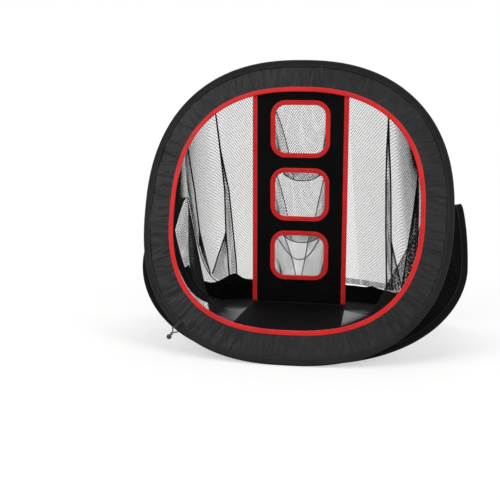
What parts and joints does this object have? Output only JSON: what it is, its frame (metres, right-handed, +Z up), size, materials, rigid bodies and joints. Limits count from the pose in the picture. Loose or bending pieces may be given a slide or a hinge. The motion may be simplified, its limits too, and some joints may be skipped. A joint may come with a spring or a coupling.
{
  "type": "golf chipping net",
  "caption": "Pop-up chipping net: a leaning oval front hoop and a folding rear hoop in cloth borders, a netting bag, and a hanging target panel with three framed pocket windows.",
  "frame": {"origin": "on the ground, under the middle of the net's bounding box", "axes": "+X to the right seen from the front, +Y from the front hoop towards the rear hoop, +Z up"},
  "size_m": [0.6552, 0.4384, 0.5555],
  "materials": {
    "border_cloth": "matte woven polyester",
    "rear_cloth": "matte woven polyester",
    "red_binding": "satin woven tape",
    "netting": "knitted cord",
    "spring_steel": "oiled spring wire",
    "ball_plastic": "moulded"
  },
  "bodies": {
    "front_frame": {"front_hoop_wire": "spring_steel", "front_hoop_joiner": "spring_steel", "front_hem_sleeve": "border_cloth", "front_border": "border_cloth", "front_binding": "red_binding", "rear_hoop_wire_near": "spring_steel", "rear_hem_near": "rear_cloth", "rear_border_near": "rear_cloth", "target_panel": "border_cloth", "panel_binding_right": "red_binding", "panel_binding_left": "red_binding", "window_binding_top": "red_binding", "pocket_net_top": "netting", "window_binding_middle": "red_binding", "pocket_net_middle": "netting", "window_binding_bottom": "red_binding", "pocket_net_bottom": "netting", "upper_net": "netting", "floor_net": "netting", "floor_strip": "border_cloth", "loop_tab": "border_cloth", "closure_loop": "netting", "loop_knot": "netting", "toggle_ball": "ball_plastic"},
    "rear_flap": {"rear_hoop_wire_far_right": "spring_steel", "rear_hoop_wire_far_left": "spring_steel", "rear_hoop_joiner": "spring_steel", "rear_hem_far": "rear_cloth", "rear_border_far": "rear_cloth", "rear_gusset_net_right": "netting", "rear_gusset_net_left": "netting"}
  },
  "joints": [
    {"name": "rear_hoop_fold", "type": "hinge", "parent": "front_frame", "child": "rear_flap", "pos_m": [0, 0.0575, 0.2702], "axis": [1, 0, 0], "range_deg": [0, 150], "stiffness_Nm_per_rad": 0.8, "springref_deg": -68.75, "deforming": ["upper_net", "floor_net"]}
  ]
}
